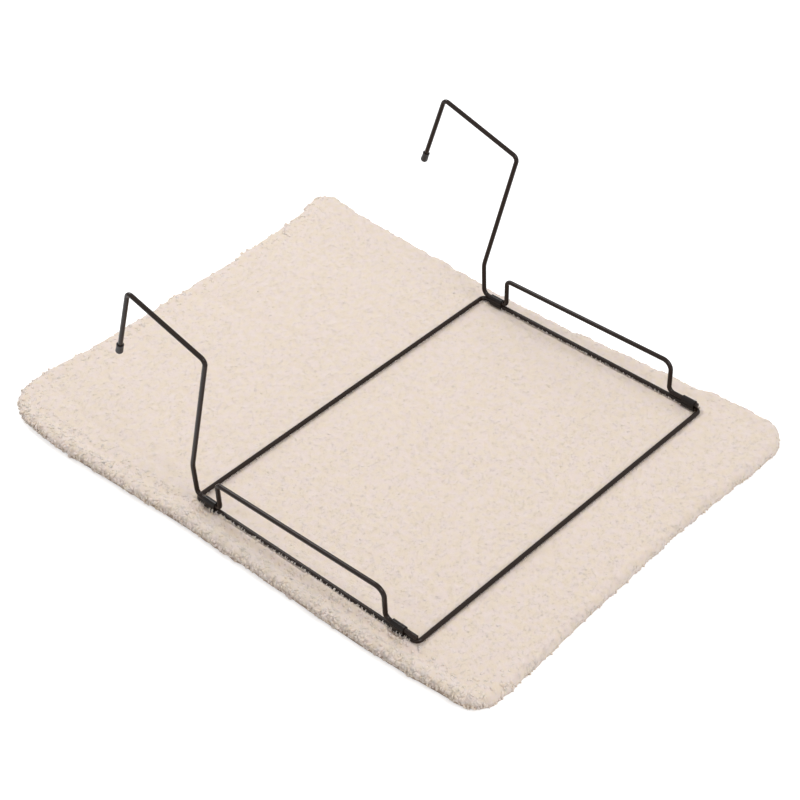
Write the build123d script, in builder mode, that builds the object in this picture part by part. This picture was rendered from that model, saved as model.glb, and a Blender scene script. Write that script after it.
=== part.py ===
from build123d import *

import os
from math import cos, degrees, radians, sin

# Radiator cat hammock, taken apart: a plush cover lies flat with its wire frame on it.
# +X runs along the frame's long bars, +Y points to the radiator, +Z is up.
# The origin is on the floor, under the middle of the cover. All lengths are millimetres.

os.makedirs("parts", exist_ok=True)

# Base frame: one wire bent to a rectangle and butt-welded; sizes are to the wire's centre line
frame_width = 460.0
frame_depth = 313.0
frame_wire = 5.2
frame_corner_radius = 5.5
pile_gap = 0.05              # between the pile and the sleeves, which stand on it

# Cover, as it lies flat; its two flaps are what wraps under the frame
left_margin = 36.0           # frame's side wire to the cover's corners
right_margin = 40.0
front_flap = 97.5            # frame's front wire to the front corners
back_flap = 289.5            # frame's back wire to the back corners
cover_corner_radius = 30.0
left_bow = 2.0               # how far each edge draws in at its middle, as the cloth lies
right_bow = 15.0
front_bow = 7.0
back_bow = 10.0
plush_height = 14.5          # floor to the top of the pile, inside the hem seam
roll_height = 17.5           # floor to the top of the fuller roll outside the hem seam
roll_width = 20.0            # edge of the cover to the hem seam
roll_top_radius = 8.0
roll_foot_cut = 2.5
seam_width = 7.0             # the dip that the hem seam pulls into the pile
seam_depth = 3.2
seam_softness = 1.6          # slope at the dip's upper edges
seam_corner_radius = 16.0
hem_allowance = 14.0         # what the turned hem has beyond the tape's width
backing_thickness = 1.5
hem_corner_radius = 6.0

# Hook tape sewn under the back hem
tape_length = 420.0
tape_width = 20.0
tape_thickness = 1.4
tape_margin = 4.5            # back edge of the cover, at its middle, to the tape

# Hangers: one wire each, with a hook over the radiator, an arm, and a guard rail.
# Heights are above the wire that turns in the sleeves, to the wire's centre line.
hanger_wire = 5.4
wire_gap = 0.3               # between the frame's side wire and the hanger lying on it
arm_setback = 1.4            # foot of the arm, in front of the frame's back wire
knee_height = 41.0
knee_setback = 0.2
hook_front_height = 206.8
hook_front_setback = 45.1
hook_back_height = 237.9
hook_back_reach = 62.3       # behind the frame's back wire
hook_tip_height = 143.9      # the closed end of the tip cap
hook_tip_reach = 93.8
rail_back_height = 34.6
rail_front_height = 39.3
rail_back_setback = 35.5     # from the frame's back wire
rail_front_setback = 42.4    # from the frame's front wire
left_tail_setback = 1.0      # the wire's cut end, behind the frame's front wire
right_tail_setback = 3.2
foot_radius = 8.0
knee_radius = 30.0
hook_radius = 6.5
rail_toe_radius = 5.0
rail_back_radius = 6.0
rail_front_radius = 11.0
rail_heel_radius = 7.0
cut_chamfer = 0.5
left_lean = 2.0              # degrees outward, as each hanger stands in the photograph
right_lean = 0.8

# Sleeves: strips of sheet metal, pressed flat-sided round the frame's wire and the hanger's
sleeve_length = 17.0
sleeve_sheet = 1.2
sleeve_seam = 0.5            # where the ends of the strip meet, on the side towards the cover's middle
hinge_clearance = 0.06       # radial, round the hanger's wire
rear_sleeve_gap = 0.8        # from the end of the rail's toe bend
left_front_sleeve_gap = 1.8  # from the end of the rail's heel bend
right_front_sleeve_gap = 12.0

# Tip caps: soft vinyl, pushed on to the ends of the hooks
cap_length = 13.0
cap_end_diameter = 8.4
cap_mouth_diameter = 7.6
cap_bead_length = 1.2        # bead round the mouth
cap_bead_proud = 0.35
cap_end_thickness = 2.2
cap_end_round = 2.4
cap_round_share = 0.29       # how far the rounding of the closed end cuts its corner

cut_overrun = 2.0
bend_step = 30.0             # degrees; each bend of a wire is lofted in about this and one step more

# Sizes, levels and lines that the pieces share
cover_width = frame_width + left_margin + right_margin
cover_length = frame_depth + front_flap + back_flap
turned_hem = tape_width + hem_allowance
frame_axis_z = plush_height + pile_gap + sleeve_sheet + frame_wire / 2
hanger_axis_z = frame_axis_z + frame_wire / 2 + wire_gap + hanger_wire / 2


def corner_outline(inset, corner_radius):
    """Closed outline with bowed edges, drawn in by inset, about the middle of the cover's four corners."""
    half_width = cover_width / 2 - inset
    half_length = cover_length / 2 - inset
    with BuildSketch() as outline:
        with BuildLine():
            corners = [
                (-half_width, -half_length),
                (half_width, -half_length),
                (half_width, half_length),
                (-half_width, half_length),
            ]
            middles = [
                (0, front_bow - half_length),
                (half_width - right_bow, 0),
                (0, half_length - back_bow),
                (left_bow - half_width, 0),
            ]
            for number, middle in enumerate(middles):
                ThreePointArc(corners[number], middle, corners[(number + 1) % len(corners)])
        make_face()
        fillet(outline.vertices(), corner_radius)
    return outline.sketch


# The edges bow unevenly, so the middle of the cover's extent isn't quite that of its corners
cover_middle = corner_outline(0, cover_corner_radius).bounding_box().center()
frame_shift_x = (left_margin - right_margin) / 2 - cover_middle.X
frame_shift_y = (front_flap - back_flap) / 2 - cover_middle.Y
back_wire_y = frame_shift_y + frame_depth / 2
front_wire_y = frame_shift_y - frame_depth / 2
rail_back_y = back_wire_y - rail_back_setback
rail_front_y = front_wire_y + rail_front_setback
tape_middle = (-cover_middle.X, cover_length / 2 - back_bow - tape_margin - tape_width / 2 - cover_middle.Y)


def cover_outline(inset, corner_radius):
    """The same outline about the hammock's origin."""
    return Pos(-cover_middle.X, -cover_middle.Y) * corner_outline(inset, corner_radius)


# Plush: one padded panel, turned under all round and sewn down
with BuildPart() as cover_plush:
    add(cover_outline(0, cover_corner_radius))
    extrude(amount=roll_height)
    fillet(cover_plush.edges().group_by(Axis.Z)[-1], roll_top_radius)
    chamfer(cover_plush.edges().group_by(Axis.Z)[0], roll_foot_cut)
    with BuildSketch(Plane.XY.offset(plush_height)):
        add(cover_outline(roll_width, seam_corner_radius))
    extrude(amount=roll_height, mode=Mode.SUBTRACT)
    with BuildSketch(Plane.XY.offset(plush_height - seam_depth)):
        add(cover_outline(roll_width, seam_corner_radius))
        add(cover_outline(roll_width + seam_width, seam_corner_radius), mode=Mode.SUBTRACT)
    extrude(amount=roll_height, mode=Mode.SUBTRACT)
    chamfer(cover_plush.edges().group_by(Axis.Z)[-1], seam_softness)
    with BuildSketch(Plane.XY.offset(backing_thickness)):
        add(cover_outline(turned_hem, hem_corner_radius))
    extrude(amount=-backing_thickness - cut_overrun, mode=Mode.SUBTRACT)
    with BuildSketch(Plane.XY.offset(tape_thickness)):
        with Locations(tape_middle):
            Rectangle(tape_length, tape_width)
    extrude(amount=-tape_thickness - cut_overrun, mode=Mode.SUBTRACT)
cover_plush.part.label = "cover_plush"
export_step(cover_plush.part, "parts/cover_plush.step")

# Backing: plain woven cloth under the plush, inside the turned hem
with BuildPart() as cover_backing:
    add(cover_outline(turned_hem, hem_corner_radius))
    extrude(amount=backing_thickness)
cover_backing.part.label = "cover_backing"
export_step(cover_backing.part, "parts/cover_backing.step")

# Hook tape: grips the pile when the cover is wrapped round the frame
with BuildPart() as hook_tape:
    with BuildSketch():
        with Locations(tape_middle):
            Rectangle(tape_length, tape_width)
    extrude(amount=tape_thickness)
hook_tape.part.label = "hook_tape"
export_step(hook_tape.part, "parts/hook_tape.step")


def bent_wire(route, diameter, across):
    """Round wire along straights and bends; across is square to the plane it is bent in."""
    with BuildPart() as wire:
        for stretch in route.edges():
            if stretch.geom_type == GeomType.LINE:
                with BuildSketch(Plane(origin=stretch @ 0, x_dir=across, z_dir=stretch % 0)):
                    Circle(diameter / 2)
                extrude(amount=stretch.length)
            else:
                steps = 1 + round(degrees(stretch.length / stretch.radius) / bend_step)
                for step in range(steps + 1):
                    share = step / steps
                    with BuildSketch(Plane(origin=stretch @ share, x_dir=across, z_dir=stretch % share)):
                        Circle(diameter / 2)
                loft(ruled=True)
    return wire.part


# Base frame: the wire follows a rounded rectangle and closes on itself
with BuildLine(Plane(origin=(frame_shift_x, frame_shift_y, frame_axis_z))) as frame_loop:
    frame_corners = [
        (-frame_width / 2, -frame_depth / 2),
        (frame_width / 2, -frame_depth / 2),
        (frame_width / 2, frame_depth / 2),
        (-frame_width / 2, frame_depth / 2),
    ]
    FilletPolyline(*frame_corners, radius=frame_corner_radius, close=True)
base_frame = bent_wire(frame_loop.line, frame_wire, (0, 0, 1))
base_frame.label = "base_frame"
export_step(base_frame, "parts/base_frame.step")


def hanger_plane(side, lean):
    """Plane of one hanger: x runs along +Y from the hammock's origin, y up along the leaning arm."""
    hinge_x = frame_shift_x + side * frame_width / 2
    up = Vector(side * sin(radians(lean)), 0, cos(radians(lean)))
    return Plane(origin=(hinge_x, 0, hanger_axis_z), x_dir=(0, 1, 0), z_dir=Vector(0, 1, 0).cross(up))


# Corners of the hanger's wire in its own plane, from the hook's tip to the rail's heel
tip_corner = (back_wire_y + hook_tip_reach, hook_tip_height)
hook_back_corner = (back_wire_y + hook_back_reach, hook_back_height)
tip_direction = (Vector(tip_corner) - Vector(hook_back_corner)).normalized()
wire_tip = Vector(tip_corner) - tip_direction * cap_end_thickness
cap_mouth = Vector(tip_corner) - tip_direction * cap_length
hanger_corners = [
    (wire_tip.X, wire_tip.Y),
    hook_back_corner,
    (back_wire_y - hook_front_setback, hook_front_height),
    (back_wire_y - knee_setback, knee_height),
    (back_wire_y - arm_setback, 0),
    (rail_back_y, 0),
    (rail_back_y, rail_back_height),
    (rail_front_y, rail_front_height),
    (rail_front_y, 0),
]
hanger_bends = [
    hook_radius,
    hook_radius,
    knee_radius,
    foot_radius,
    rail_toe_radius,
    rail_back_radius,
    rail_front_radius,
    rail_heel_radius,
]


def make_hanger(plane, cut_end_y):
    """One wire bent in its own plane: tip, hook, arm, foot, guard rail and plain cut end."""
    with BuildLine(plane) as hanger_line:
        FilletPolyline(*hanger_corners, (cut_end_y, 0), radius=hanger_bends)
    wire = bent_wire(hanger_line.line, hanger_wire, plane.z_dir)
    with BuildPart() as hanger:
        add(wire)
        chamfer(hanger.faces().filter_by(GeomType.PLANE).sort_by(Axis.Y)[0].edges(), cut_chamfer)
    return hanger.part


def make_cap(plane):
    """Blind vinyl cap pushed on to the hook's tip: bead, slight taper, rounded closed end."""
    mouth = plane.from_local_coords(cap_mouth)
    axis_direction = (plane.from_local_coords(tip_corner) - mouth).normalized()
    half_plane = Plane(origin=mouth, x_dir=axis_direction.cross(plane.z_dir), z_dir=plane.z_dir)
    bead_radius = cap_mouth_diameter / 2 + cap_bead_proud
    end_radius = cap_end_diameter / 2
    round_cut = cap_end_round * cap_round_share
    with BuildPart() as cap:
        with BuildSketch(half_plane):
            with BuildLine():
                Polyline(
                    (hanger_wire / 2, 0),
                    (bead_radius, 0),
                    (bead_radius, cap_bead_length),
                    (cap_mouth_diameter / 2, cap_bead_length),
                    (end_radius, cap_length - cap_end_round),
                    (end_radius - round_cut, cap_length - round_cut),
                    (end_radius - cap_end_round, cap_length),
                    (0, cap_length),
                    (0, cap_length - cap_end_thickness),
                    (hanger_wire / 2, cap_length - cap_end_thickness),
                    close=True,
                )
            make_face()
        revolve(axis=Axis(mouth, axis_direction))
    return cap.part


def make_sleeve(side, start_y):
    """Strip of sheet pressed round both wires: it grips the frame's, and the hanger's turns in it."""
    axis_rise = hanger_axis_z - frame_axis_z
    turning_radius = hanger_wire / 2 + hinge_clearance
    section_plane = Plane(
        origin=(frame_shift_x + side * frame_width / 2, start_y, frame_axis_z),
        x_dir=(side, 0, 0),
        z_dir=(0, -side, 0),
    )
    with BuildPart() as sleeve:
        with BuildSketch(section_plane):
            for thickness, mode in ((sleeve_sheet, Mode.ADD), (0, Mode.SUBTRACT)):
                lower = frame_wire / 2 + thickness
                upper = turning_radius + thickness
                Circle(lower, mode=mode)
                with Locations((0, axis_rise)):
                    Circle(upper, mode=mode)
                Polygon((-lower, 0), (lower, 0), (upper, axis_rise), (-upper, axis_rise), align=None, mode=mode)
            with Locations((0, axis_rise / 2)):
                seam_align = (Align.MAX, Align.CENTER)
                Rectangle(frame_wire, sleeve_seam, align=seam_align, mode=Mode.SUBTRACT)
        extrude(amount=-side * sleeve_length)
    return sleeve.part


rear_sleeve_start = rail_back_y + rail_toe_radius + rear_sleeve_gap
front_sleeve_end = rail_front_y - rail_heel_radius
front_sleeve_gaps = {"left": left_front_sleeve_gap, "right": right_front_sleeve_gap}
tail_setbacks = {"left": left_tail_setback, "right": right_tail_setback}
for side_name, side, lean in (("left", -1, left_lean), ("right", 1, right_lean)):
    plane = hanger_plane(side, lean)
    pieces = {
        "hanger": make_hanger(plane, front_wire_y + tail_setbacks[side_name]),
        "hook_cap": make_cap(plane),
        "rear_sleeve": make_sleeve(side, rear_sleeve_start),
        "front_sleeve": make_sleeve(side, front_sleeve_end - front_sleeve_gaps[side_name] - sleeve_length),
    }
    for piece_name, piece in pieces.items():
        piece.label = side_name + "_" + piece_name
        export_step(piece, "parts/" + piece.label + ".step")
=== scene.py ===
from math import atan2, cos, copysign, pi, radians, sin, tan

import bpy
import numpy as np
from mathutils import Matrix, Vector


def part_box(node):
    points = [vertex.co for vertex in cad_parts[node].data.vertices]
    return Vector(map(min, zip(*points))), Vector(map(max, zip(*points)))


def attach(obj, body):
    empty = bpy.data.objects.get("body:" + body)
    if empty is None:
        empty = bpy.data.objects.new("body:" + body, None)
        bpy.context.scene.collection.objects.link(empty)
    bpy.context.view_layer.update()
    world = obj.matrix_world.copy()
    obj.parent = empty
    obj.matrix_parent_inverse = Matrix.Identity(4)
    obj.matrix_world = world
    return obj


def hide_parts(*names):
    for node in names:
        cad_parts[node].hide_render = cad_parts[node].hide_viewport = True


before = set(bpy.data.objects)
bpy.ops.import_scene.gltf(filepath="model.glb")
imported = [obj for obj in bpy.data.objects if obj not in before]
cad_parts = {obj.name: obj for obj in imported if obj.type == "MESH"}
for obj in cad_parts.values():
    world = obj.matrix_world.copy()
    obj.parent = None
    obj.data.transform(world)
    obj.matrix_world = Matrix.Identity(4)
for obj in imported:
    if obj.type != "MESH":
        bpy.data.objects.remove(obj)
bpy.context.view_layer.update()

mm = 0.001

# The base frame's wire is what the other sizes start from: it lies level, square to the axes.
frame_wire = 5.2 * mm
frame_low, frame_high = (np.array(corner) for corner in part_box("base_frame"))
frame_middle = (frame_low + frame_high) / 2
left_wire_x, front_wire_y = frame_low[:2] + frame_wire / 2
right_wire_x, back_wire_y = frame_high[:2] - frame_wire / 2

# The camera stands over the front left corner, as in the photograph, and looks down on the hammock.
# It leans by about a degree and a half, which the upright wires in the photograph show.
camera_data = bpy.data.cameras.new("camera")
camera_data.sensor_width = 36.0
camera_data.lens = 91.65
camera = bpy.data.objects.new("camera", camera_data)
bpy.context.scene.collection.objects.link(camera)
bpy.context.scene.camera = camera
azimuth, elevation, lean = radians(-46.479), radians(40.251), radians(-1.457)
back = Vector((sin(azimuth) * cos(elevation), -cos(azimuth) * cos(elevation), sin(elevation)))
level = Vector((0, 0, 1)).cross(back).normalized()
rise = back.cross(level)
right = level * cos(lean) + rise * sin(lean)
up = rise * cos(lean) - level * sin(lean)
from_frame_middle = Vector((-1.2218, -1.0828, 1.45785))
stand = Vector(frame_middle) + from_frame_middle
camera.matrix_world = Matrix((
    (right.x, up.x, back.x, stand.x),
    (right.y, up.y, back.y, stand.y),
    (right.z, up.z, back.z, stand.z),
    (0, 0, 0, 1),
))


# The room is a sweep of matt white board under large softboxes, as in a product studio.
# It shows white to the camera and in anything glossy or clear, and keeps the hammock's soft shadow.
def linear(hex_colour):
    """Linear red, green, blue and alpha of an sRGB hex colour."""
    parts = [int(hex_colour[i:i + 2], 16) / 255 for i in (1, 3, 5)]
    return [p / 12.92 if p <= 0.04045 else ((p + 0.055) / 1.055) ** 2.4 for p in parts] + [1.0]


def add(tree, kind, settings=None, links=None):
    """One shader node, its settings by property, input name or number, and what feeds its inputs."""
    node = tree.nodes.new(kind)
    for name, value in (settings or {}).items():
        if isinstance(name, str) and hasattr(node, name):
            setattr(node, name, value)
        else:
            node.inputs[name].default_value = value
    for name, source in (links or {}).items():
        tree.links.new(source, node.inputs[name])
    return node


def new_material(name):
    """An empty node material and its tree."""
    material = bpy.data.materials.new(name)
    material.use_nodes = True
    material.node_tree.nodes.clear()
    return material, material.node_tree


def shows_background(tree):
    """One for rays that show the room itself: to the camera, or in something glossy or clear."""
    ray = add(tree, "ShaderNodeLightPath")
    either = add(tree, "ShaderNodeMath", {"operation": "MAXIMUM"},
                 {0: ray.outputs["Is Camera Ray"], 1: ray.outputs["Is Glossy Ray"]})
    return add(tree, "ShaderNodeMath", {"operation": "MAXIMUM"},
               {0: either.outputs[0], 1: ray.outputs["Is Transmission Ray"]}).outputs[0]


white_board, tree = new_material("matt_white_board")
matt = add(tree, "ShaderNodeBsdfDiffuse", {"Color": linear("#E6E6E6")})
glow = add(tree, "ShaderNodeEmission", {"Color": linear("#FFFFFF"), "Strength": 0.58})
both = add(tree, "ShaderNodeAddShader", links={0: matt.outputs[0], 1: glow.outputs[0]})
board = add(tree, "ShaderNodeMixShader",
            links={0: shows_background(tree), 1: matt.outputs[0], 2: both.outputs[0]})
add(tree, "ShaderNodeOutputMaterial", links={"Surface": board.outputs[0]})
board_reach = 6.0
board_mesh = bpy.data.meshes.new("floor")
board_mesh.from_pydata(
    [(-board_reach, -board_reach, 0), (board_reach, -board_reach, 0),
     (board_reach, board_reach, 0), (-board_reach, board_reach, 0)],
    [], [(0, 1, 2, 3)],
)
board_mesh.materials.append(white_board)
floor = bpy.data.objects.new("floor", board_mesh)
bpy.context.scene.collection.objects.link(floor)

studio = bpy.data.worlds.new("studio")
bpy.context.scene.world = studio
studio.use_nodes = True
studio.node_tree.nodes.clear()
tree = studio.node_tree
room_light = add(tree, "ShaderNodeBackground", {"Color": linear("#FFFFFF"), "Strength": 0.46})
room_seen = add(tree, "ShaderNodeBackground", {"Color": linear("#FFFFFF"), "Strength": 1.0})
room = add(tree, "ShaderNodeMixShader",
           links={0: shows_background(tree), 1: room_light.outputs[0], 2: room_seen.outputs[0]})
add(tree, "ShaderNodeOutputWorld", links={"Surface": room.outputs[0]})
bpy.context.scene.view_settings.view_transform = "Standard"
for lamp_name, place, size, watts in (
    ("front_softbox", (-0.2, -5.4, 5.8), 4.0, 250),
    ("back_softbox", (0.6, 2.6, 3.15), 1.8, 67),
):
    lamp_data = bpy.data.lights.new(lamp_name, "AREA")
    lamp_data.shape = "SQUARE"
    lamp_data.size = size
    lamp_data.energy = watts
    lamp = bpy.data.objects.new(lamp_name, lamp_data)
    bpy.context.scene.collection.objects.link(lamp)
    lamp.location = place
    lamp.rotation_euler = (-Vector(place)).to_track_quat("-Z", "Y").to_euler()


# The cover's face is one panel of curly lambskin plush: polyester pile locked into a knit.
# Its edges are turned under and sewn down, which leaves a fuller roll outside the seam's dip.
cover_half_width = 268 * mm              # middle of the cover to its side edges, before they bow
cover_half_length = 350 * mm
cover_middle = np.array((1.17, 0.34)) * mm
corner_radii = np.array((28, 36, 22, 42)) * mm    # front left, front right, back right, back left
field_inset = 40 * mm                    # further in than this the pile lies flat
field_corner_radius = 6 * mm
pile_level = 14.2 * mm
pile_step = 2.4 * mm
roll_run = 90 * mm                       # about how far a section runs, from the flat pile to the hem's end
rough_within, rough_fade = 30 * mm, 8 * mm       # how far in from its edge the loose roll is rough
waver_within, waver_fade = 16 * mm, 10 * mm      # and how far in every edge wavers

# How each edge wanders as the cloth lies: place along it, and distance out from the straight line
edge_drift = [np.array(edge) * mm for edge in (
    [(-268, 4), (-230, 2.5), (-170, 1), (-110, -1.6), (-60, -3.4), (0, -5.6), (60, -7.4), (110, -6.8),
     (170, -4.8), (210, -2), (240, -3.5), (255, -4), (268, -5)],
    [(-350, 3), (-300, 4.5), (-260, 3), (-220, -2), (-160, -6), (-95, -9.2), (-20, -16.8), (60, -16.8),
     (140, -11.2), (210, -9.2), (250, -7.8), (290, -4.5), (350, 2)],
    [(-268, -5), (-235, -3), (-205, -0.6), (-140, -6), (-90, -8.5), (-40, -7.6), (0, -6.8), (50, -6),
     (100, -6.8), (140, -5.2), (205, -0.8), (240, 9), (268, 13)],
    [(-350, -14), (-300, -10.8), (-265, -7.8), (-200, -5), (-150, -5), (-75, -6.5), (0, -6.2), (50, -5.8),
     (100, -4.2), (170, -0.8), (260, 1.6), (300, -1.6), (350, -7)],
)]

# Sections from the flat pile over the seam's dip and the roll, and back under as the turned hem:
# distance in from the edge, and height. The roll is loose and overhangs on the left; elsewhere it lies close.
loose_roll = np.array([
    (40, 14.2), (34, 14.2), (28, 14.0), (23, 13.4), (19, 12.8), (16, 13.6), (12, 15.6), (8, 16.6), (4, 16.2),
    (1.2, 14.6), (0, 12.6), (0.2, 10.8), (1.0, 9.4), (1.2, 6.6), (1.2, 3.2), (1.8, 1.2), (6, 0.6), (33, 0.5),
]) * mm
close_roll = np.array([
    (40, 14.2), (33, 14.2), (28, 14.1), (24, 14.0), (20, 14.1), (16, 14.3), (12, 14.4), (8, 14.2),
    (4.8, 13.3), (2.2, 11.6), (0.6, 9.2), (0, 6.4), (0.3, 3.6), (1.6, 1.6), (5, 0.7), (14, 0.5), (33, 0.5),
]) * mm
# Share of the loose section, by corners passed on the way round from the front left one
looseness_share = np.array([
    (0, 0.6), (0.03, 0.2), (0.1, 0.1), (1, 0.1), (2, 0.1), (2.85, 0.15), (3, 0.6), (3.06, 1), (3.96, 1), (4, 0.6),
])


def smooth_line(points, count):
    """Evenly spaced points on the smooth curve through the given ones, and how far along each is."""
    ends = np.vstack([2 * points[0] - points[1], points, 2 * points[-1] - points[-2]])
    steps_between = 24
    share = np.linspace(0, 1, steps_between, endpoint=False)[:, None]
    spans = [
        0.5 * (2 * b + (c - a) * share + (2 * a - 5 * b + 4 * c - d) * share ** 2
               + (3 * b - a - 3 * c + d) * share ** 3)
        for a, b, c, d in zip(ends, ends[1:], ends[2:], ends[3:])
    ]
    curve = np.vstack(spans + [points[-1:]])
    run = np.concatenate([[0], np.cumsum(np.linalg.norm(np.diff(curve, axis=0), axis=1))])
    stations = np.linspace(0, run[-1], count)
    return np.stack([np.interp(stations, run, curve[:, k]) for k in range(points.shape[1])], 1), stations


def cover_edge(side, inset, count):
    """One edge of the cover, from the middle of its first corner to the middle of the next."""
    share = max(0, 1 - inset / field_inset)
    radii = field_corner_radius + (corner_radii - field_corner_radius) * share
    first, last = radii[side], radii[(side + 1) % 4]
    run, reach = cover_half_width - inset, cover_half_length - inset
    if side % 2:
        run, reach = reach, run
    straight = 2 * run - first - last
    s = np.linspace(0, straight + (first + last) * pi / 4, count, endpoint=False)
    into, out_of = s - first * pi / 4, s - first * pi / 4 - straight
    bend = np.where(into < 0, -into / first, np.where(out_of > 0, out_of / last, 0))
    along = np.where(into < 0, first - run - first * np.sin(bend),
                     np.where(out_of > 0, run - last + last * np.sin(bend), into + first - run))
    radius = np.where(into < 0, first, last)
    out = reach - radius + radius * np.cos(bend)
    turned = side * pi / 2
    return np.stack([along * cos(turned) + out * sin(turned), along * sin(turned) - out * cos(turned)], 1)


def cover_ring(inset, counts):
    """All four edges of the cover, as one ring."""
    return np.concatenate([cover_edge(side, inset, count) for side, count in enumerate(counts)])


def lie(flat):
    """Places in the straight-edged cover, moved to where the cloth lies."""
    x, y = flat[..., 0], flat[..., 1]
    near = [-y / cover_half_length, x / cover_half_width, y / cover_half_length, -x / cover_half_width]
    front, right, back, left = (
        np.interp(along, drift[:, 0], drift[:, 1]) * np.clip(share, 0, 1) ** 2
        for along, drift, share in zip((x, y, x, y), edge_drift, near)
    )
    return np.stack([x + right - left, y + back - front], -1) + cover_middle


def cover_grid(inset, across, down):
    """A grid of places that fills the cover inside the inset, as cloth without its edges."""
    counts = (across, down, across, down)
    front, right, back, left = (cover_edge(side, inset, counts[side]) for side in range(4))
    front, right, back, left = (np.vstack([edge, following[:1]]) for edge, following in
                                zip((front, right, back, left), (right, back, left, front)))
    back, left = back[::-1], left[::-1]
    u = np.linspace(0, 1, across + 1)[:, None, None]
    v = np.linspace(0, 1, down + 1)[None, :, None]
    return ((1 - v) * front[:, None] + v * back[:, None] + (1 - u) * left[None] + u * right[None]
            - (1 - u) * (1 - v) * front[0] - u * (1 - v) * front[-1]
            - (1 - u) * v * back[0] - u * v * back[-1])


def grid_faces(across, down):
    """Faces of a grid, and its rim counter-clockwise from the front left corner."""
    at = np.arange((across + 1) * (down + 1)).reshape(across + 1, down + 1)
    faces = np.stack([at[:-1, :-1], at[1:, :-1], at[1:, 1:], at[:-1, 1:]], -1).reshape(-1, 4)
    return faces, np.concatenate([at[:-1, 0], at[-1, :-1], at[:0:-1, -1], at[0, :0:-1]])


def waves(flat, size, seed):
    """Smooth random waves between about -1 and 1, of the given size from crest to trough."""
    cells = 97                           # after this many the waves repeat
    lattice = np.random.default_rng(seed).uniform(-1, 1, (cells, cells))
    place = flat / size + 50
    cell = np.floor(place).astype(int)
    share = place - cell
    share = share * share * (3 - 2 * share)
    (i, j), (a, b) = (cell % cells).T, share.T
    k, l = (i + 1) % cells, (j + 1) % cells
    return (lattice[i, j] * (1 - a) * (1 - b) + lattice[k, j] * a * (1 - b)
            + lattice[i, l] * (1 - a) * b + lattice[k, l] * a * b)


def from_line(places, line):
    """Distance from each place to a line of points."""
    best = np.full(len(places), np.inf)
    for a, b in zip(line, line[1:]):
        share = np.clip((places - a) @ (b - a) / ((b - a) @ (b - a)), 0, 1)
        best = np.minimum(best, np.linalg.norm(places - a - share[:, None] * (b - a), axis=1))
    return best


def make_piece(name, points, faces, material, body, slot):
    """A smooth mesh object that rides on a body; faces are arrays of triangles, quads or larger polygons."""
    faces = [np.asarray(some) for some in faces]
    sizes = np.concatenate([np.full(len(some), some.shape[1]) for some in faces])
    corners = np.concatenate([some.ravel() for some in faces])
    mesh = bpy.data.meshes.new(name)
    mesh.vertices.add(len(points))
    mesh.vertices.foreach_set("co", np.asarray(points, dtype=np.float32).ravel())
    mesh.loops.add(len(corners))
    mesh.loops.foreach_set("vertex_index", corners.astype(np.int32))
    mesh.polygons.add(len(sizes))
    mesh.polygons.foreach_set("loop_start", (np.cumsum(sizes) - sizes).astype(np.int32))
    mesh.update(calc_edges=True)
    mesh.validate()
    mesh.polygons.foreach_set("use_smooth", [True] * len(mesh.polygons))
    mesh.materials.append(material)
    piece = bpy.data.objects.new(name, mesh)
    bpy.context.scene.collection.objects.link(piece)
    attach(piece, body)
    return piece


across = int(2 * (cover_half_width - field_inset) / pile_step)
down = int(2 * (cover_half_length - field_inset) / pile_step)
sides = (across, down, across, down)
field = cover_grid(field_inset, across, down).reshape(-1, 2)
field_faces, field_rim = grid_faces(across, down)
roll_steps = int(roll_run / pile_step)
(loose, stations), (close, _) = (smooth_line(line, roll_steps) for line in (loose_roll, close_roll))
outward = cover_ring(0, sides) - field[field_rim]
outward /= np.linalg.norm(outward, axis=1)[:, None]
passed = np.concatenate([side + np.linspace(0, 1, count, endpoint=False) for side, count in enumerate(sides)])
looseness = np.interp(passed, *looseness_share.T)[:, None]
field_count, rim_count = len(field), len(field_rim)
flats, spots, levels = [field], [lie(field)], [np.full(field_count, pile_level)]
roughness, rim_waver = [np.zeros(field_count)], [np.zeros(field_count)]
normals = [np.tile((0, 0, 1.0), (field_count, 1))]
rings = [field_rim]
slopes = [np.gradient(line, axis=0) for line in (loose, close)]
for step in range(1, roll_steps):
    run = slopes[1][step] + (slopes[0][step] - slopes[1][step]) * looseness
    run /= np.linalg.norm(run, axis=1)[:, None]
    both = [cover_ring(line[step, 0], sides) for line in (loose, close)]
    rings.append(field_count + (step - 1) * rim_count + np.arange(rim_count))
    spots.append(lie(both[1] + (both[0] - both[1]) * looseness))
    levels.append((close[step, 1] + (loose[step, 1] - close[step, 1]) * looseness)[:, 0])
    flats.append(field[field_rim] + outward * stations[step])
    roughness.append(looseness[:, 0] * np.clip((rough_within - loose[step, 0]) / rough_fade, 0, 1))
    rim_waver.append(np.full(rim_count, np.clip((waver_within - close[step, 0]) / waver_fade, 0, 1)))
    normals.append(np.column_stack([outward * -run[:, 1:], -run[:, 0]]))
spots, levels, flats, normals, roughness, rim_waver = (
    np.concatenate(part) for part in (spots, levels, flats, normals, roughness, rim_waver))
strips = [np.stack([a, b, np.roll(b, -1), np.roll(a, -1)], -1) for a, b in zip(rings, rings[1:])]
pile_faces = np.concatenate([field_faces] + strips)
on_top, beneath = normals[:, 2] > 0.5, normals[:, 2] < -0.5

# The cloth isn't quite flat: it swells and dips, and its curls gather in lumps and worm-like ridges.
# It swells more on the loose roll and wavers at its edges, but the hem beneath lies even.
lift = (0.6 * waves(flats, 70 * mm, 1) + 0.3 * waves(flats, 11 * mm, 2)
        + 0.32 * waves(flats, 6.5 * mm, 3) + 0.4 * (1 - 2 * np.abs(waves(flats, 5.2 * mm, 4)))) * mm
lift += roughness * (0.7 * waves(flats, 26 * mm, 5) + 0.6 * waves(flats, 9 * mm, 6)) * mm
lift += rim_waver * (1.2 * waves(spots, 14 * mm, 8) + 0.8 * waves(spots, 6 * mm, 9)) * mm
lift *= normals[:, 2] > -0.6

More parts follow.
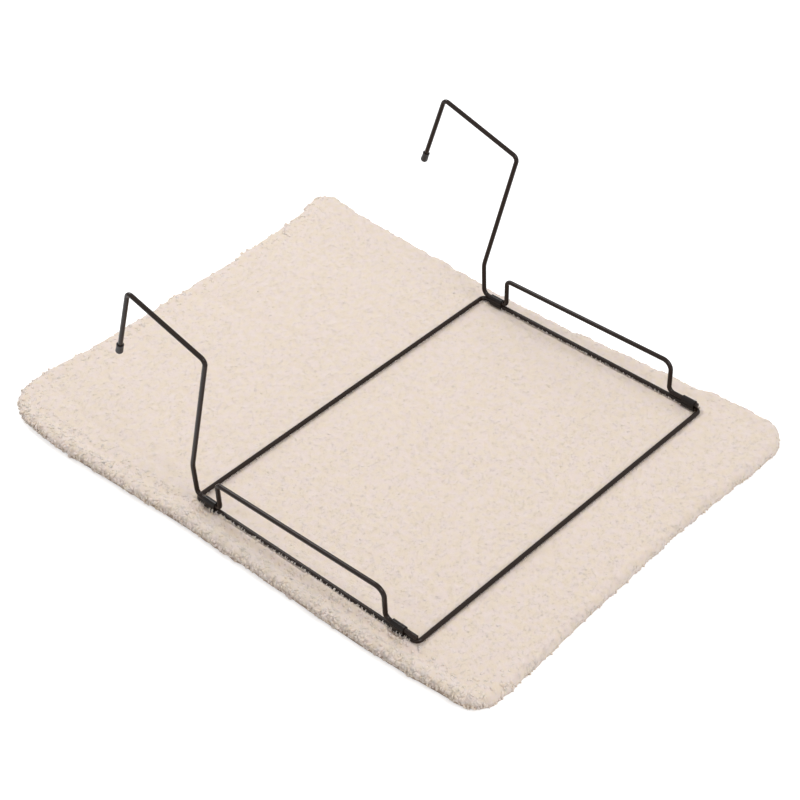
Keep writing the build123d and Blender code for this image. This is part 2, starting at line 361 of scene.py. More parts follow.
# A soft crease left by folding, and a second hem line inside the left edge: places from the frame's middle
for depth, reach, line in (
    (1.0, 7.0, [(15, 415), (21, 378), (27, 342), (33, 307), (39, 271), (45, 245)]),
    (0.9, 6.0, [(-203, 427), (-221, 340), (-219, 243), (-215, 92), (-204, -41), (-196, -155)]),
):
    away = from_line(spots, frame_middle[:2] + np.array(line) * mm)
    lift -= depth * mm * np.exp(-(away / (reach * mm)) ** 2) * on_top
pile_points = np.column_stack([spots, levels]) + normals * lift[:, None]

# Under the frame's wire the pile is pressed down, and it swells up beside it, most outside the left wire
frame_corners = np.array([
    (left_wire_x, front_wire_y), (right_wire_x, front_wire_y), (right_wire_x, back_wire_y),
    (left_wire_x, back_wire_y), (left_wire_x, front_wire_y)])
from_wire = from_line(spots, frame_corners)
swell_middle, swell_reach = 3.5 * mm, 6 * mm
swell = np.where(spots[:, 0] < left_wire_x, 3.8, np.where(
    (spots[:, 1] < front_wire_y) | (spots[:, 0] > right_wire_x), 1.8, 1.4)) * mm
pile_points[:, 2] += swell * np.exp(-((from_wire - swell_middle) / swell_reach) ** 2) * on_top
under_wire, under_sleeves = 15.6 * mm, 14.4 * mm
pressed_beside_wire, pressed_round_sleeve = 3.2 * mm, 2 * mm
pressed = on_top & (from_wire < pressed_beside_wire)
pile_points[pressed, 2] = np.minimum(pile_points[pressed, 2], under_wire)
sleeve_boxes = [np.array(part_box(f"{side}_{place}_sleeve"))
                for side in ("left", "right") for place in ("rear", "front")]
for box in sleeve_boxes:
    pressed = np.all((spots > box[0, :2] - pressed_round_sleeve)
                     & (spots < box[1, :2] + pressed_round_sleeve), axis=1)
    pile_points[pressed, 2] = np.minimum(pile_points[pressed, 2], under_sleeves)
lowest_pile = 0.3 * mm
pile_points[:, 2] = np.maximum(pile_points[:, 2], lowest_pile)

# Beneath, the hem leaves room for the hook tape, and its cut edge steps up to the backing
tape_low, tape_high = (np.array(corner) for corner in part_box("hook_tape"))
tape_room, above_tape = 2 * mm, 1.45 * mm
over_tape = beneath & np.all((spots > tape_low[:2] - tape_room) & (spots < tape_high[:2] + tape_room), axis=1)
pile_points[over_tape, 2] = np.maximum(pile_points[over_tape, 2], above_tape)
hem_depth, hem_top = 33.5 * mm, 1.5 * mm
hem_edge = np.column_stack([lie(cover_ring(hem_depth, sides)), np.full(rim_count, hem_top)])
hem_ring = len(pile_points) + np.arange(rim_count)
hem_step = np.stack([rings[-1], hem_ring, np.roll(hem_ring, -1), np.roll(rings[-1], -1)], -1)

plush_material, tree = new_material("lambskin_plush_polyester")
# Crimped polyester pile is matt and scatters light, so its colour is warm and its shadows are soft;
# low on the left roll, under its overhang, the colour is painted darker and browner: a painted shade
patch_size, strand_size = 8.333 * mm, 2.381 * mm
where = add(tree, "ShaderNodeNewGeometry")
mottle = add(tree, "ShaderNodeTexNoise", {"Scale": 1 / patch_size, "Detail": 3.0},
             {"Vector": where.outputs["Position"]})
tint = add(tree, "ShaderNodeValToRGB", links={"Fac": mottle.outputs["Fac"]})
tint.color_ramp.elements[0].position, tint.color_ramp.elements[1].position = 0.38, 0.62
tint.color_ramp.elements[0].color, tint.color_ramp.elements[1].color = linear("#E9DAC9"), linear("#EADBD3")
# Painted shade: a darker, browner colour is mixed in low on the left roll, where its overhang is in shade
painted_under_roll_shade = add(tree, "ShaderNodeAttribute", {"attribute_name": "painted_under_roll_shade"})
tint_and_painted_shade = add(tree, "ShaderNodeMix", {"data_type": "RGBA", 7: linear("#BDA898")},
             {0: painted_under_roll_shade.outputs["Fac"], 6: tint.outputs["Color"]})
strands = add(tree, "ShaderNodeTexNoise", {"Scale": 1 / strand_size, "Detail": 4.0, "Roughness": 0.65},
              {"Vector": where.outputs["Position"]})
fluff = add(tree, "ShaderNodeBump", {"Strength": 0.45, "Distance": 1.0 * mm}, {"Height": strands.outputs["Fac"]})
pile_shader = add(tree, "ShaderNodeBsdfPrincipled", {
    "Roughness": 0.95, "Sheen Weight": 0.05, "Sheen Roughness": 0.6, "Specular IOR Level": 0.1,
    "Subsurface Weight": 0.6, "Subsurface Radius": (1.0, 0.95, 0.9), "Subsurface Scale": 1.5 * mm,
}, {"Base Color": tint_and_painted_shade.outputs[2], "Normal": fluff.outputs["Normal"]})
add(tree, "ShaderNodeOutputMaterial", links={"Surface": pile_shader.outputs[0]})

plush = make_piece("plush_face", np.vstack([pile_points, hem_edge]),
                   [pile_faces, hem_step, hem_ring[None, ::-1]], plush_material, "root", "plush")
# How much painted shade each point takes: on the rough roll, below this height, fading in over this distance
shade_painted_below, shade_painted_fade = 7.5 * mm, 2 * mm
painted_shade_share = roughness * np.clip((shade_painted_below - pile_points[:, 2]) / shade_painted_fade, 0, 1)
plush_painted_shade = plush.data.attributes.new("painted_under_roll_shade", "FLOAT", "POINT")
plush_painted_shade.data.foreach_set("value", np.append(painted_shade_share, np.zeros(rim_count)))
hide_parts("cover_plush")


# The pile is in locks, tufts of fibre that heat has curled: each lies on the cloth in a ring, its ends
# tucked in. They are fuller on the left roll, where the cloth is turned under loosely, and hang over its edge.
def tubes(lines, widths, beside, around):
    """Points and faces of many thin tubes at once, each along its own line of places and closed at both ends."""
    count, steps = lines.shape[:2]
    ways = np.gradient(lines, axis=1)
    ways /= np.linalg.norm(ways, axis=2)[:, :, None]
    lateral = np.cross(beside[:, None], ways)
    lateral /= np.linalg.norm(lateral, axis=2)[:, :, None]
    widths = widths[:, :, None]
    rings = [
        lines + widths * (beside[:, None] * cos(turned) - lateral * sin(turned))
        for turned in np.linspace(0, 2 * pi, around, endpoint=False)
    ]
    body = np.stack(rings, 2).reshape(count, steps * around, 3)
    tips = [lines[:, end] + sign * ways[:, end] * widths[:, end] for end, sign in ((0, -1), (-1, 1))]
    points = np.concatenate([body, tips[0][:, None], tips[1][:, None]], 1)
    at = np.arange(steps * around).reshape(steps, around)
    following = np.roll(at, -1, axis=1)
    quads = np.stack([at[:-1], following[:-1], following[1:], at[1:]], -1).reshape(-1, 4)
    first, last = np.full(around, steps * around), np.full(around, steps * around + 1)
    ends = np.concatenate([
        np.stack([following[0], at[0], first], -1), np.stack([at[-1], following[-1], last], -1)])
    start = (np.arange(count) * points.shape[1])[:, None, None]
    return points.reshape(-1, 3), [(quads + start).reshape(-1, 4), (ends + start).reshape(-1, 3)]


def make_curls(name, roots, outs, ways, astray, turn, reach, thickness, proud, steps, around, random):
    """Locks lying curled on the cloth: each runs its way, give or take, and dips into the cloth at both ends."""
    along = ways - outs * (ways * outs).sum(1)[:, None]
    along /= np.linalg.norm(along, axis=1)[:, None]
    across = np.cross(outs, along)
    share = np.linspace(0, 1, steps)[None, :, None]
    turn, proud = turn[:, None, None], proud[:, None, None]
    turned = turn * (share - 0.5) - radians(90) + random.uniform(-astray, astray, len(roots))[:, None, None]
    reach = reach[:, None, None] * (1 - 0.25 * share)
    tuck = 0.8 * mm
    rise = (proud + tuck) * np.sqrt(np.sin(pi * share)) - tuck - thickness[:, None, None]
    lines = roots[:, None] + reach * (along[:, None] * np.cos(turned) + across[:, None] * np.sin(turned))
    widths = thickness[:, None] * (1 - 0.4 * (2 * share[:, :, 0] - 1) ** 2)
    points, faces = tubes(lines + outs[:, None] * rise, widths, outs, around)
    return make_piece(name, points, faces, plush_material, "root", "plush")


random = np.random.default_rng(7)
face_middles = pile_points[pile_faces].mean(1)
face_ways, edges_across, edges_down = (
    pile_points[pile_faces[:, b]] - pile_points[pile_faces[:, a]] for a, b in ((0, 1), (0, 2), (1, 3)))
face_outs = np.cross(edges_across, edges_down)
face_outs /= np.linalg.norm(face_outs, axis=1)[:, None]
face_roughness = roughness[pile_faces].mean(1)
in_field = np.arange(len(pile_faces)) < len(field_faces)
clear_of_wire, clear_of_floor, loose_clear_of_floor = 5 * mm, 4 * mm, 5.4 * mm
clear = ((from_line(face_middles[:, :2], frame_corners) > clear_of_wire)
         & (face_middles[:, 2] > clear_of_floor))
chosen = random.random(len(pile_faces))
loose_faces = np.flatnonzero(~in_field & clear & (face_roughness > 0.1)
                             & (face_middles[:, 2] > loose_clear_of_floor)
                             & (chosen < 0.38 * np.minimum(1, 0.2 + face_roughness)))
close_faces = np.flatnonzero(~in_field & clear & (face_roughness <= 0.1) & (chosen < 0.25))
flat_faces = np.flatnonzero(in_field & clear & (chosen < 0.22))
for name, group, astray, turns, lowest, highest, reach_range, thickness_range, steps, around in (
    ("left_roll_pile", loose_faces, 75, (70, 150), 0.7, 2.2, (2.8, 4.4), (1.3, 2.2), 7, 6),
    ("edge_pile", close_faces, 180, (170, 280), 0.5, 0.9, (1.8, 2.6), (0.9, 1.2), 6, 3),
    ("field_pile_back", flat_faces[1::2], 180, (170, 280), 0.5, 0.5, (1.8, 2.8), (0.8, 1.1), 6, 3),
    ("field_pile_front", flat_faces[::2], 180, (170, 280), 0.5, 0.5, (1.8, 2.8), (0.8, 1.1), 6, 3),
):
    proud = lowest + (highest - lowest) * np.clip(1.2 * (1 - face_outs[group, 2]), 0, 1)
    make_curls(name, face_middles[group], face_outs[group], face_ways[group], radians(astray),
               np.radians(random.uniform(*turns, len(group))), random.uniform(*reach_range, len(group)) * mm,
               random.uniform(*thickness_range, len(group)) * mm, proud * mm, steps, around, random)

# Round the edges the locks hang over, which leaves the roll with a ragged lower rim
hanging = np.flatnonzero(~in_field & (face_outs[:, 2] > -0.5) & (face_outs[:, 2] < 0.3 + 0.35 * face_roughness)
                         & (face_middles[:, 2] > (3 + 5 * face_roughness) * mm)
                         & (chosen > 0.55) & (chosen < 0.7 + 0.16 * face_roughness))
share = np.linspace(0, 1, 5)[None, :, None]
lock_outs = face_outs[hanging][:, None]
lock_looseness = face_roughness[hanging][:, None, None]
lock_length = random.uniform(1.8, 4.4, len(hanging))[:, None, None] * (0.6 + 0.4 * lock_looseness) * mm
lock_sway = random.normal(0, 1.1, (len(hanging), 1, 1)) * mm * np.cross(lock_outs, (0, 0, 1.0))
# The looser the roll, the further its locks stand out, and the less their tips turn back in
lock_bow = pi * (0.15 + (0.8 - 0.25 * lock_looseness) * share)
lock_proud = ((1.5 + 1.3 * lock_looseness) * np.sin(lock_bow) - 1) * mm
lock_lines = (face_middles[hanging][:, None] - np.array((0, 0, 1.0)) * lock_length * share
              + lock_sway * share + lock_outs * lock_proud)
lowest_lock = 1.5 * mm
lock_lines[:, :, 2] = np.maximum(lock_lines[:, :, 2], lowest_lock)
lock_widths = random.uniform(0.8, 1.8, (len(hanging), 1)) * mm * (1 - 0.5 * share[:, :, 0] ** 2)
make_piece("hanging_pile", *tubes(lock_lines, lock_widths, lock_outs[:, 0], 4), plush_material, "root", "plush")

# Where the frame sinks in, the pile stands up beside its wire: thickest along the left wire's outer side.
# Angles are up from level round the wire; only the tallest row goes on beside the sleeves, set further out.
wire_run_inset = 7 * mm
root_angle, tallest_from = radians(-65), 40
clump_pitch, clump_drift = 6 * mm, 15 * mm
tuft_gap, sleeve_gap, foot_spread = 0.1 * mm, 1.5 * mm, 1.6 * mm
beside_sleeve = 1 * mm
tuft_lines, tuft_widths, tuft_besides = [], [], []
for start, end, outside, lowest, highest, thinnest, thickest, spacing in (
    (frame_corners[3], frame_corners[0], (-1, 0), -35, 0, 0.9, 1.3, 0.8),
    (frame_corners[3], frame_corners[0], (-1, 0), -45, 46, 0.6, 0.9, 0.6),
    (frame_corners[3], frame_corners[0], (1, 0), -40, -5, 0.5, 0.8, 1.6),
    (frame_corners[1], frame_corners[2], (-1, 0), -35, 14, 0.4, 0.8, 0.7),
    (frame_corners[1], frame_corners[2], (1, 0), -40, -5, 0.5, 0.8, 1.6),
    (frame_corners[0], frame_corners[1], (0, -1), -40, 4, 0.4, 0.8, 0.8),
    (frame_corners[0], frame_corners[1], (0, 1), -40, -5, 0.5, 0.8, 1.8),
    (frame_corners[2], frame_corners[3], (0, -1), -40, 4, 0.4, 0.8, 0.8),
    (frame_corners[2], frame_corners[3], (0, 1), -40, -5, 0.5, 0.8, 1.8),
):
    length = np.linalg.norm(end - start)
    sown = int((length - 2 * wire_run_inset) / (spacing * mm))
    places = random.uniform(wire_run_inset, length - wire_run_inset, sown)
    run = (end - start) / length
    feet = start + run * places[:, None]
    by_sleeve = np.zeros(len(places), bool)
    for box in sleeve_boxes:
        by_sleeve |= np.all((feet > box[0, :2] - beside_sleeve) & (feet < box[1, :2] + beside_sleeve), axis=1)
    wanted = ~by_sleeve | (highest > tallest_from)
    places, feet, by_sleeve = places[wanted], feet[wanted], by_sleeve[wanted]
    count = len(places)
    drift = waves(np.column_stack([places, places]), clump_drift, 31)
    clumps = 0.5 + 0.5 * np.sin(2 * pi * places / clump_pitch + 6 * drift)
    fullness = np.clip(clumps * random.uniform(0.6, 1.1, count), 0, 1)
    tops = np.radians(lowest + (highest - lowest) * fullness)[:, None]
    share = np.linspace(0, 1, 5)[None]
    bend = root_angle + (tops - root_angle) * share
    widths = random.uniform(thinnest, thickest, count)[:, None] * mm * (1 - 0.6 * share ** 1.5)
    reach = (frame_wire / 2 + tuft_gap + by_sleeve[:, None] * sleeve_gap + widths
             + foot_spread * (1 - share) * random.uniform(0.3, 1, count)[:, None])
    sway = random.normal(0, 0.9, count)[:, None] * mm * share
    flat = feet[:, None] + np.array(outside) * (reach * np.cos(bend))[:, :, None] + run * sway[:, :, None]
    tuft_lines.append(np.concatenate([flat, (frame_middle[2] + reach * np.sin(bend))[:, :, None]], -1))
    tuft_widths.append(widths)
    tuft_besides.append(np.tile((*run, 0), (count, 1)))
tuft_points, tuft_faces = tubes(*(np.concatenate(part) for part in (tuft_lines, tuft_widths, tuft_besides)), 3)
make_piece("pile_beside_wires", tuft_points, tuft_faces, plush_material, "root", "plush")


# The backing is a plain-woven cloth that carries the plush; it shows beneath, inside the turned hem.
# The hem is stitched down on it all round, and it lies on the floor.
def band_scale(pitch):
    """Scale of a texture of bands that are this far apart."""
    return 2 * pi / (20 * pitch)


backing_material, tree = new_material("plain_woven_polyester_cotton")
# A plain weave reads as a fine even grain; its half-millimetre threads are drawn twice as coarse, to show
thread_pitch = 1.0 * mm
where = add(tree, "ShaderNodeNewGeometry")
warp, weft = (
    add(tree, "ShaderNodeTexWave", {"bands_direction": way, "Scale": band_scale(thread_pitch), "Distortion": 0.4},
        {"Vector": where.outputs["Position"]})
    for way in ("X", "Y")
)
over_under = add(tree, "ShaderNodeTexChecker", {"Scale": 1 / thread_pitch}, {"Vector": where.outputs["Position"]})
weave = add(tree, "ShaderNodeMix", links={
    0: over_under.outputs["Fac"], 2: warp.outputs["Fac"], 3: weft.outputs["Fac"]})
thread_tint = add(tree, "ShaderNodeValToRGB", links={"Fac": weave.outputs[0]})
thread_tint.color_ramp.elements[0].color, thread_tint.color_ramp.elements[1].color = (
    linear("#CBBDAB"), linear("#E2D7C8"))
thread_bump = add(tree, "ShaderNodeBump", {"Strength": 0.6, "Distance": 0.25 * mm}, {"Height": weave.outputs[0]})
cloth = add(tree, "ShaderNodeBsdfPrincipled", {"Roughness": 0.9, "Sheen Weight": 0.1, "Specular IOR Level": 0.2},
            {"Base Color": thread_tint.outputs["Color"], "Normal": thread_bump.outputs["Normal"]})
add(tree, "ShaderNodeOutputMaterial", links={"Surface": cloth.outputs[0]})
backing_inset = 30 * mm
cloth_top, cloth_underside = 1.4 * mm, 0.7 * mm
cloth_across, cloth_down = 48, 64
cloth_places = lie(cover_grid(backing_inset, cloth_across, cloth_down).reshape(-1, 2))
cloth_faces, cloth_rim = grid_faces(cloth_across, cloth_down)
cloth_count = len(cloth_places)
cloth_points = np.vstack([
    np.column_stack([cloth_places, np.full(cloth_count, level)]) for level in (cloth_top, cloth_underside)
])
cloth_edge = np.stack([cloth_rim, cloth_rim + cloth_count, np.roll(cloth_rim, -1) + cloth_count,
                       np.roll(cloth_rim, -1)], -1)
backing = make_piece("woven_backing", cloth_points, [cloth_faces, cloth_faces[:, ::-1] + cloth_count, cloth_edge],
                     backing_material, "root", "backing")
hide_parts("cover_backing")


# The hook tape is a woven nylon ribbon with moulded hooks, sewn under the back hem.
# When the cover is wrapped round the frame, its hooks grip the pile of the front flap.
def skin(rings, closed=False):
    """Points and faces of loops joined one to the next, the first and last closed flat or joined."""
    rings = np.array(rings)
    at = np.arange(rings.shape[0] * rings.shape[1]).reshape(rings.shape[:2])
    pairs = list(zip(at, at[1:])) + ([(at[-1], at[0])] if closed else [])
    walls = [np.stack([a, np.roll(a, -1), np.roll(b, -1), b], -1) for a, b in pairs]
    return rings.reshape(-1, 3), [np.concatenate(walls)] + ([] if closed else [at[:1, ::-1], at[-1:]])


tape_material, tree = new_material("woven_nylon_tape")
# Nylon yarn has a slight gloss; the ribs of the ribbon run across it, a little coarser than real
rib_pitch = 0.8 * mm
where = add(tree, "ShaderNodeNewGeometry")
ribs = add(tree, "ShaderNodeTexWave", {"bands_direction": "X", "Scale": band_scale(rib_pitch), "Distortion": 0.3},
           {"Vector": where.outputs["Position"]})
yarn_tint = add(tree, "ShaderNodeValToRGB", links={"Fac": ribs.outputs["Fac"]})
yarn_tint.color_ramp.elements[0].color, yarn_tint.color_ramp.elements[1].color = (
    linear("#D9CEBE"), linear("#EBE2D5"))
yarn_bump = add(tree, "ShaderNodeBump", {"Strength": 0.5, "Distance": 0.15 * mm}, {"Height": ribs.outputs["Fac"]})
yarn = add(tree, "ShaderNodeBsdfPrincipled", {"Roughness": 0.55, "Specular IOR Level": 0.4},
           {"Base Color": yarn_tint.outputs["Color"], "Normal": yarn_bump.outputs["Normal"]})
add(tree, "ShaderNodeOutputMaterial", links={"Surface": yarn.outputs[0]})
ribbon_low, ribbon_high, selvedge = 0.9 * mm, 1.4 * mm, 0.12 * mm
tape_seam_inset = 1 * mm
ribbon_section = [
    (tape_low[1], ribbon_low + selvedge), (tape_low[1] + selvedge, ribbon_low),
    (tape_low[1] + tape_seam_inset, ribbon_low), (tape_high[1] - tape_seam_inset, ribbon_low),
    (tape_high[1] - selvedge, ribbon_low), (tape_high[1], ribbon_low + selvedge),
    (tape_high[1], ribbon_high), (tape_low[1], ribbon_high),
]
ribbon_stations = np.linspace(tape_low[0], tape_high[0], 60)
ribbon_points, ribbon_faces = skin([[(x, y, z) for y, z in ribbon_section] for x in ribbon_stations])
ribbon = make_piece("hook_tape_ribbon", ribbon_points, ribbon_faces, tape_material, "root", "tape")
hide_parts("hook_tape")
hook_pitch = np.array((2.0, 1.7)) * mm
hook_margin = 1.8 * mm
hook_rows = [np.arange(low + hook_margin, high - hook_margin, pitch)
             for low, high, pitch in zip(tape_low, tape_high, hook_pitch)]
hook_feet = np.stack(np.meshgrid(*hook_rows), -1).reshape(-1, 2)
hook_ways = np.where(np.arange(len(hook_feet)) % 2, 1.0, -1.0)
hook_share = np.array([(0, 1.0), (0.02, 0.55), (0.18, 0.22), (0.42, 0.3)]) * mm    # reach along the tape, height
hook_lines = np.stack([
    np.column_stack([hook_feet[:, 0] + hook_ways * reach, hook_feet[:, 1], np.full(len(hook_feet), height)])
    for reach, height in hook_share], 1)
hook_widths = np.tile(np.array((0.16, 0.13, 0.12, 0.08)) * mm, (len(hook_feet), 1))
hook_points, hook_faces = tubes(hook_lines, hook_widths, np.tile((0, 1.0, 0), (len(hook_feet), 1)), 3)
make_piece("hook_tape_hooks", hook_points, hook_faces, tape_material, "root", "tape")


# The stitches are spun polyester thread, one row down the hem all round and one along each edge
# of the tape. They are lock stitches, which show beneath as short raised lengths.
thread_material, tree = new_material("spun_polyester_thread")
# The twist of the two plies reads as fine slanting bands across each stitch
ply_pitch = 0.6 * mm
where = add(tree, "ShaderNodeNewGeometry")
plies = add(tree, "ShaderNodeTexWave", {"bands_direction": "DIAGONAL", "Scale": band_scale(ply_pitch)},
            {"Vector": where.outputs["Position"]})
ply_bump = add(tree, "ShaderNodeBump", {"Strength": 0.4, "Distance": 0.1 * mm}, {"Height": plies.outputs["Fac"]})
thread = add(tree, "ShaderNodeBsdfPrincipled", {"Base Color": linear("#E3D6C5"), "Roughness": 0.7},
             {"Normal": ply_bump.outputs["Normal"]})
add(tree, "ShaderNodeOutputMaterial", links={"Surface": thread.outputs[0]})


def stitches(line, pitch, level):
    """Short raised lengths of thread along a line of places, just under the cloth at that level."""
    run = np.concatenate([[0], np.cumsum(np.linalg.norm(np.diff(line, axis=0), axis=1))])
    middles = np.arange(pitch / 2, run[-1], pitch)[:, None] + pitch * np.array((-0.42, -0.2, 0.2, 0.42))
    flat = np.stack([np.interp(middles, run, line[:, k]) for k in (0, 1)], -1)
    heights = level + np.array((0.15, -0.15, -0.15, 0.15)) * mm
    return np.concatenate([flat, np.broadcast_to(heights, middles.shape)[:, :, None]], -1)


hem_seam_inset, hem_level = 30.5 * mm, 0.5 * mm
hem_stitch, tape_stitch, thread_radius = 4 * mm, 3 * mm, 0.2 * mm
hem_seam = lie(cover_ring(hem_seam_inset, sides))
tape_seams = [np.array([(tape_low[0] + tape_seam_inset, y), (tape_high[0] - tape_seam_inset, y)])
              for y in (tape_low[1] + tape_seam_inset, tape_high[1] - tape_seam_inset)]
stitch_lines = np.concatenate(
    [stitches(np.vstack([hem_seam, hem_seam[:1]]), hem_stitch, hem_level)]
    + [stitches(seam, tape_stitch, ribbon_low) for seam in tape_seams])
stitch_besides = np.cross((0, 0, 1.0), stitch_lines[:, -1] - stitch_lines[:, 0])
stitch_besides /= np.linalg.norm(stitch_besides, axis=1)[:, None]
stitch_widths = np.full(stitch_lines.shape[:2], thread_radius)
stitch_points, stitch_faces = tubes(stitch_lines, stitch_widths, stitch_besides, 4)
make_piece("hem_stitches", stitch_points, stitch_faces, thread_material, "root", "backing")


# The base frame is one length of round steel wire, bent at four corners and butt-welded.
# It is powder-coated black after bending, so the coat runs unbroken round the bends.
def powder_coat(name, colour, roughness, grain):
    """Baked polyester powder on steel: satin, with a faint orange-peel that breaks up its highlights."""
    material, tree = new_material(name)
    cloud_size = 16.667 * mm
    where = add(tree, "ShaderNodeNewGeometry")
    peel = add(tree, "ShaderNodeTexNoise", {"Scale": 1 / grain, "Detail": 2.0},
               {"Vector": where.outputs["Position"]})
    peel_bump = add(tree, "ShaderNodeBump", {"Strength": 0.25, "Distance": 0.15 * mm},
                    {"Height": peel.outputs["Fac"]})
    cloud = add(tree, "ShaderNodeTexNoise", {"Scale": 1 / cloud_size, "Detail": 3.0},
                {"Vector": where.outputs["Position"]})
    gloss = add(tree, "ShaderNodeMapRange", {"To Min": roughness - 0.05, "To Max": roughness + 0.07},
                {"Value": cloud.outputs["Fac"]})
    coat = add(tree, "ShaderNodeBsdfPrincipled", {"Base Color": linear(colour), "Specular IOR Level": 0.22},
               {"Roughness": gloss.outputs["Result"], "Normal": peel_bump.outputs["Normal"]})
    add(tree, "ShaderNodeOutputMaterial", links={"Surface": coat.outputs[0]})
    return material


def bent_line(corners, radii, closed=False):
    """Places along a wire bent in its own plane, and the way it runs there: straights joined by arcs."""
    corners = np.array(corners)
    arc_step = radians(6)
    places, ways = [], []
    for number, (corner, radius) in enumerate(zip(corners, radii)):
        into, out = corner - corners[number - 1], corners[(number + 1) % len(corners)] - corner
        if not closed and number == 0:
            into = out
        if not closed and number == len(corners) - 1:
            out = into
        into, out = into / np.linalg.norm(into), out / np.linalg.norm(out)
        turn = atan2(into[0] * out[1] - into[1] * out[0], into @ out)
        radius = copysign(radius, turn)
        middle = corner - into * abs(radius * tan(turn / 2)) + np.array((-into[1], into[0])) * radius
        for angle in np.linspace(0, turn, 1 + round(abs(turn) / arc_step)):
            way = np.array((into[0] * cos(angle) - into[1] * sin(angle),
                            into[0] * sin(angle) + into[1] * cos(angle)))
            places.append(middle + np.array((way[1], -way[0])) * radius)
            ways.append(way)
    return np.array(places), np.array(ways)


def wire_rings(places, ways, radii, origin, along, rise):
    """Rings round a wire's centre line, which is bent in the plane of along and rise."""
    along, rise = np.array(along), np.array(rise)
    spots = origin + places[:, :1] * along + places[:, 1:] * rise
    runs = ways[:, :1] * along + ways[:, 1:] * rise
    across = np.cross(along, rise)
    around = 24
    turned = np.linspace(0, 2 * pi, around, endpoint=False)[None, :, None]
    rounds = across * np.cos(turned) + np.cross(runs, across)[:, None] * np.sin(turned)
    return spots[:, None] + np.array(radii)[:, None, None] * rounds


# The coat colour is brown-black: its warm cast is partly a painted reflection of the cream plush
frame_coat = powder_coat("black_powder_coat_frame", "#261A13", 0.15, 1.3 * mm)
frame_corner_radius = 5.5 * mm
frame_line = bent_line(frame_corners[:4] - frame_middle[:2], [frame_corner_radius] * 4, closed=True)
frame_radii = np.full(len(frame_line[0]), frame_wire / 2)
frame_skin = skin(wire_rings(*frame_line, frame_radii, frame_middle, (1, 0, 0), (0, 1, 0)), closed=True)
base_frame = make_piece("base_frame_wire", *frame_skin, frame_coat, "frame", "frame_coat")
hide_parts("base_frame")


# Each hanger is one length of the same kind of wire, bent in one plane: hook, arm, foot, guard rail and
# plain cut end. It turns in its two sleeves, and stands a little outward, as the pair does in the photograph.
hanger_wire = 5.4 * mm
wire_gap = 0.3 * mm
hanger_axis_z = frame_middle[2] + frame_wire / 2 + wire_gap + hanger_wire / 2
cap_end_thickness = 2.2 * mm
cut_chamfer = 0.5 * mm
rail_setback = 42.4 * mm
rail_front = front_wire_y - back_wire_y + rail_setback
# Corners of the wire, from the hook's tip: distance behind the frame's back wire, and height above the hinge
cap_tip, hook_back = np.array((93.8, 143.9)) * mm, np.array((62.3, 237.9)) * mm
tip_way = (cap_tip - hook_back) / np.linalg.norm(cap_tip - hook_back)
hanger_corners = [
    cap_tip - tip_way * cap_end_thickness,
    hook_back,
    (-45.1 * mm, 206.8 * mm),
    (-0.2 * mm, 41.0 * mm),
    (-1.4 * mm, 0),
    (-35.5 * mm, 0),
    (-35.5 * mm, 34.6 * mm),
    (rail_front, 39.3 * mm),
    (rail_front, 0),
]
hanger_bends = np.array((0, 6.5, 6.5, 30, 8, 5, 6, 11, 7, 0)) * mm
# The coat colour is brown-black: its warm cast is partly a painted reflection of the cream plush
hanger_coat = powder_coat("black_powder_coat_hanger", "#261A14", 0.14, 1.2 * mm)


def hanger_line(tail_setback):
    """Places, ways and radii along one hanger's wire, whose cut end stands behind the frame's front wire."""
    cut_end = front_wire_y - back_wire_y + tail_setback
    places, ways = bent_line(hanger_corners + [(cut_end, 0)], hanger_bends)
    places = np.vstack([places[:-1], places[-1] - ways[-1] * cut_chamfer, places[-1:]])
    radii = np.full(len(places), hanger_wire / 2)
    radii[-1] -= cut_chamfer
    return places, np.vstack([ways, ways[-1:]]), radii


# Each cap is soft black vinyl, dipped to shape and pushed on to the tip of the hook.
# It has a bead round its mouth, a slight taper and a rounded closed end.
cap_material, tree = new_material("dipped_soft_vinyl")
# Plasticised vinyl is matt with a broad dull highlight, and a touch greyer than the wire's coat
grain_size = 0.7 * mm
where = add(tree, "ShaderNodeNewGeometry")
skin_grain = add(tree, "ShaderNodeTexNoise", {"Scale": 1 / grain_size, "Detail": 3.0},
                 {"Vector": where.outputs["Position"]})
skin_bump = add(tree, "ShaderNodeBump", {"Strength": 0.3, "Distance": 0.1 * mm},
                {"Height": skin_grain.outputs["Fac"]})
vinyl = add(tree, "ShaderNodeBsdfPrincipled", {
    "Base Color": linear("#2A2729"), "Roughness": 0.5, "Specular IOR Level": 0.45},
    {"Normal": skin_bump.outputs["Normal"]})
add(tree, "ShaderNodeOutputMaterial", links={"Surface": vinyl.outputs[0]})
cap_length = 13 * mm
cap_bore = (hanger_wire / 2 + 0.02 * mm) / mm
# Half section in millimetres, from the bottom of the bore, out round the bead and over the closed end:
# distance from the mouth, and radius
cap_section = np.array([
    (10.8, 0.2), (10.8, 1.4), (10.7, 2.2), (10.2, cap_bore), (0.5, cap_bore), (0.1, 2.85), (0, 3.2), (0, 3.7),
    (0.12, 4.0), (0.35, 4.13), (0.6, 4.15), (0.85, 4.13), (1.08, 4.02), (1.25, 3.84), (1.5, 3.8), (5, 3.93),
    (10.6, 4.2), (11.3, 4.05), (11.9, 3.7), (12.4, 3.15), (12.75, 2.4), (12.95, 1.4), (13, 0.5), (13, 0.1),
]) * mm

# Each sleeve is a strip of sheet steel pressed round both wires: flat-sided, with its seam inward.
# It grips the frame's wire and lets the hanger's turn in it, so it is the hanger's hinge.
sleeve_sheet = 1.2 * mm
hinge_clearance = 0.06 * mm
sleeve_seam = 0.5 * mm
edge_break = 0.18 * mm                   # the pressed edges are slightly rounded
sharp_from = radians(35)                 # sharper edges than this stay crisp
# The coat colour is brown-black: its warm cast is partly a painted reflection of the cream plush
sleeve_coat = powder_coat("black_coat_on_pressed_steel", "#1A130F", 0.15, 0.9 * mm)


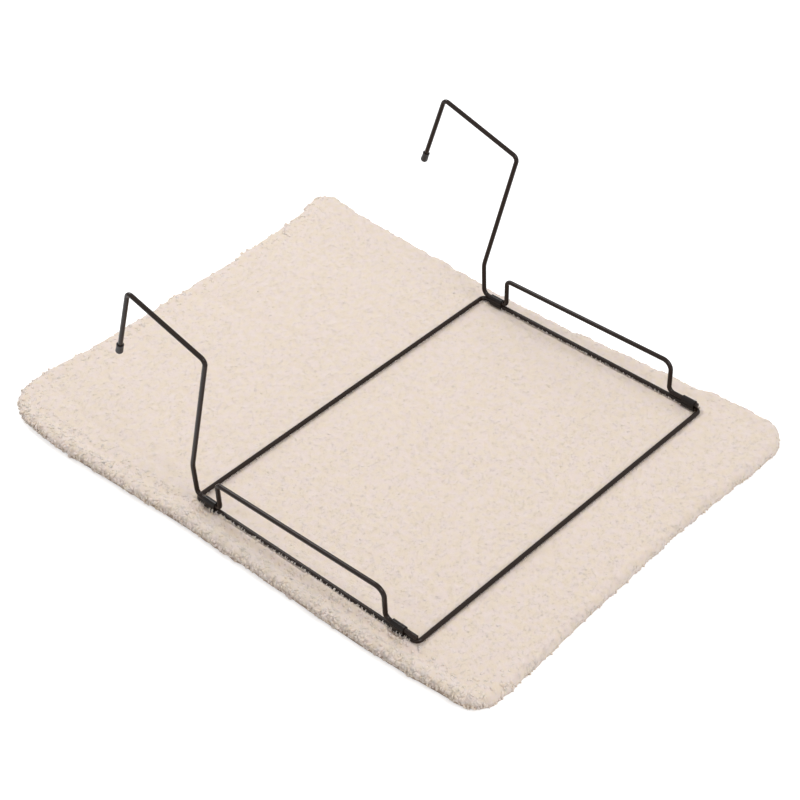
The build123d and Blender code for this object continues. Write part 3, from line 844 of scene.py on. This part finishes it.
def sleeve_loop(thinner):
    """Section of a sleeve round the frame wire's centre, its walls thinner by that on each face."""
    rise_between = hanger_axis_z - frame_middle[2]
    arc_points = 17
    lower_arc, upper_arc = np.linspace(pi, 2 * pi, arc_points), np.linspace(0, pi, arc_points)
    walls = []
    for extra in (sleeve_sheet - thinner, thinner):
        lower, upper = frame_wire / 2 + extra, hanger_wire / 2 + hinge_clearance + extra
        lip = -(lower + upper) / 2
        walls.append(
            [(lip, (rise_between - sleeve_seam) / 2)]
            + [(lower * cos(a), lower * sin(a)) for a in lower_arc]
            + [(upper * cos(a), rise_between + upper * sin(a)) for a in upper_arc]
            + [(lip, (rise_between + sleeve_seam) / 2)])
    return walls[0] + walls[1][::-1]


for side_name, side, hanger_lean, tail_setback in (
    ("left", -1, radians(2.0), 1.0 * mm),
    ("right", 1, radians(0.8), 3.2 * mm),
):
    wire_x = frame_middle[0] + side * (right_wire_x - left_wire_x) / 2
    hanger_plane = (np.array((wire_x, back_wire_y, hanger_axis_z)), (0, 1, 0),
                    (side * sin(hanger_lean), 0, cos(hanger_lean)))
    body = side_name + "_arm"
    hanger_skin = skin(wire_rings(*hanger_line(tail_setback), *hanger_plane))
    hanger = make_piece(side_name + "_hanger_wire", *hanger_skin, hanger_coat, body, "hanger_coat")
    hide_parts(side_name + "_hanger")
    cap_places = cap_tip - tip_way * (cap_length - cap_section[:, :1])
    cap_rings = wire_rings(cap_places, np.tile(tip_way, (len(cap_places), 1)), cap_section[:, 1], *hanger_plane)
    cap = make_piece(side_name + "_vinyl_cap", *skin(cap_rings), cap_material, body, "cap_vinyl")
    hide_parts(side_name + "_hook_cap")
    for place in ("rear", "front"):
        node = f"{side_name}_{place}_sleeve"
        low_y, high_y = (corner[1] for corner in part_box(node))
        stations = [(low_y, edge_break), (low_y + edge_break, 0), (high_y - edge_break, 0), (high_y, edge_break)]
        loops = [[(wire_x + side * out, y, frame_middle[2] + height) for out, height in sleeve_loop(thinner)]
                 for y, thinner in stations[::-side]]
        sleeve = make_piece(node + "_pressing", *skin(loops), sleeve_coat, "frame", "sleeve_coat")
        sleeve.data.set_sharp_from_angle(angle=sharp_from)
        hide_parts(node)
    hanger.data.set_sharp_from_angle(angle=sharp_from)
